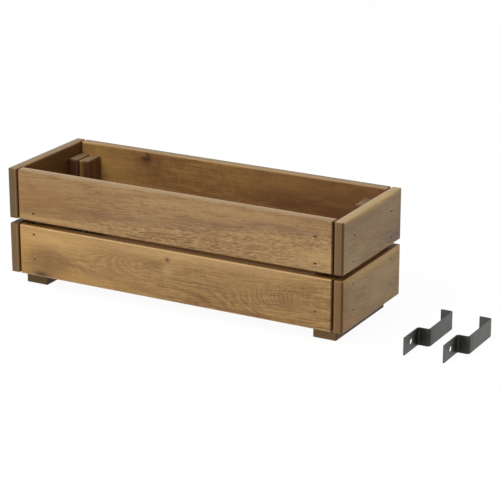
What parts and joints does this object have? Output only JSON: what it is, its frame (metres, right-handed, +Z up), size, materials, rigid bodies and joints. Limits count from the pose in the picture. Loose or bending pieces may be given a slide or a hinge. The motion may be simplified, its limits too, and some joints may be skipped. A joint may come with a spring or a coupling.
{
  "type": "wooden planter box",
  "caption": "Low rectangular wooden planter box with gapped board walls on two runners, with bent steel strip brackets for hanging it beside it.",
  "frame": {"origin": "on the ground, in the middle of the bounding box of the planter box and its two brackets together; the box's own middle is 89.25 mm towards -X from it", "axes": "+X along the box towards the end where the brackets stand, +Y from the front wall to the back wall, +Z up"},
  "size_m": [0.7786, 0.204, 0.196],
  "materials": {
    "front_wall_wood": "light brown stained hardwood, satin, fine lengthwise grain",
    "back_wall_wood": "golden to reddish brown stained hardwood, satin",
    "left_end_wood": "brown stained hardwood, satin",
    "right_end_wood": "greyish brown stained hardwood, satin",
    "post_wood": "greyish brown stained hardwood, satin",
    "runner_wood": "dark brown stained hardwood, satin",
    "floor_wood": "brown stained hardwood, satin",
    "nail_steel": "dark coated steel, sunk below the wood",
    "screw_steel": "zinc plated steel",
    "bracket_steel": "dark grey coated steel strip, satin"
  },
  "bodies": {
    "planter_box": {"front_upper_board": "front_wall_wood", "front_lower_board": "front_wall_wood", "back_upper_board": "back_wall_wood", "back_lower_board": "back_wall_wood", "left_upper_end_board": "left_end_wood", "left_lower_end_board": "left_end_wood", "right_upper_end_board": "right_end_wood", "right_lower_end_board": "right_end_wood", "front_left_panel_post": "post_wood", "front_right_panel_post": "post_wood", "back_left_panel_post": "post_wood", "back_right_panel_post": "post_wood", "front_left_end_post": "post_wood", "front_right_end_post": "post_wood", "back_left_end_post": "post_wood", "back_right_end_post": "post_wood", "left_runner": "runner_wood", "right_runner": "runner_wood", "front_floor_slat": "floor_wood", "middle_floor_slat": "floor_wood", "back_floor_slat": "floor_wood", "front_board_nails": "nail_steel", "back_board_nails": "nail_steel", "left_end_nails": "nail_steel", "right_end_nails": "nail_steel", "floor_nails": "nail_steel", "post_screws": "screw_steel", "runner_screws": "screw_steel"},
    "left_bracket": {"left_hanging_bracket": "bracket_steel"},
    "right_bracket": {"right_hanging_bracket": "bracket_steel"}
  },
  "joints": [
    {"name": "left_bracket_lift", "type": "slide", "parent": "planter_box", "child": "left_bracket", "axis": [0, 0, 1], "range_m": [0, 0.25]},
    {"name": "right_bracket_lift", "type": "slide", "parent": "planter_box", "child": "right_bracket", "axis": [0, 0, 1], "range_m": [0, 0.25]}
  ]
}
